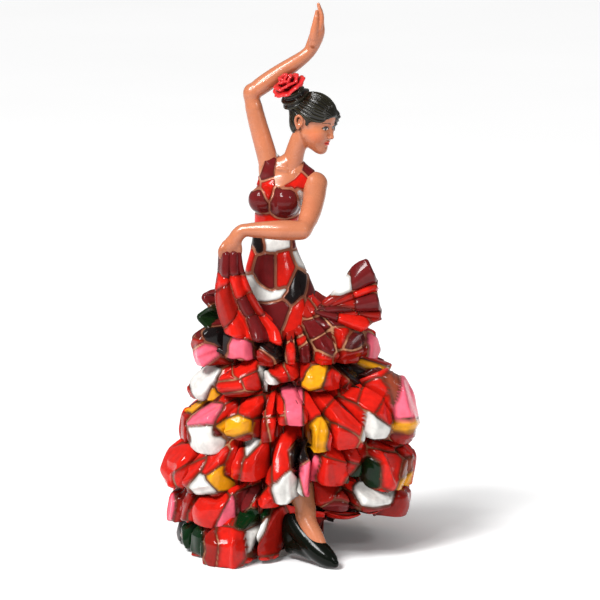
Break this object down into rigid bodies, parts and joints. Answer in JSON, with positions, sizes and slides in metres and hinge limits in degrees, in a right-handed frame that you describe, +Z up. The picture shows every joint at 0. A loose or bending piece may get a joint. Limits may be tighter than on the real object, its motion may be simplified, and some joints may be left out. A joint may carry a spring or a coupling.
{
  "type": "dancer figurine",
  "caption": "Painted resin souvenir figurine of a dancer in a ruffled mosaic-pattern dress, one arm raised, on a felted closing plate.",
  "frame": {"origin": "centre of the felt's underside, on the skirt's axis, where the figurine stands", "axes": "+Z up along the dancer's height; the front of the figurine faces -Y; +X is to the viewer's right, the side of the swept-up train"},
  "size_m": [0.1388, 0.1253, 0.3003],
  "materials": {
    "skirt_enamel": "gloss",
    "overskirt_enamel": "gloss",
    "skin_enamel": "satin",
    "hair_enamel": "gloss",
    "rose_enamel": "satin",
    "shoe_enamel": "gloss",
    "bare_resin": "matte",
    "felt": "matte",
    "steel": "satin"
  },
  "bodies": {
    "root": {"underside_felt": "felt", "closing_plate": "bare_resin", "skirt_tier_4": "skirt_enamel", "skirt_tier_3": "skirt_enamel", "skirt_tier_2": "skirt_enamel", "skirt_tier_1": "skirt_enamel", "overskirt_flounce": "overskirt_enamel", "held_drape": "overskirt_enamel", "side_cascade": "overskirt_enamel", "train_fan": "overskirt_enamel", "hip_casting": "overskirt_enamel", "bodice": "skirt_enamel", "head": "skin_enamel", "hair_cap": "hair_enamel", "chignon": "hair_enamel", "hair_rose": "rose_enamel", "raised_arm": "skin_enamel", "lowered_arm": "skin_enamel", "leg": "skin_enamel", "shoe": "shoe_enamel", "waist_pin": "steel", "neck_pin": "steel", "raised_arm_pin": "steel", "lowered_arm_pin": "steel"}
  },
  "joints": []
}
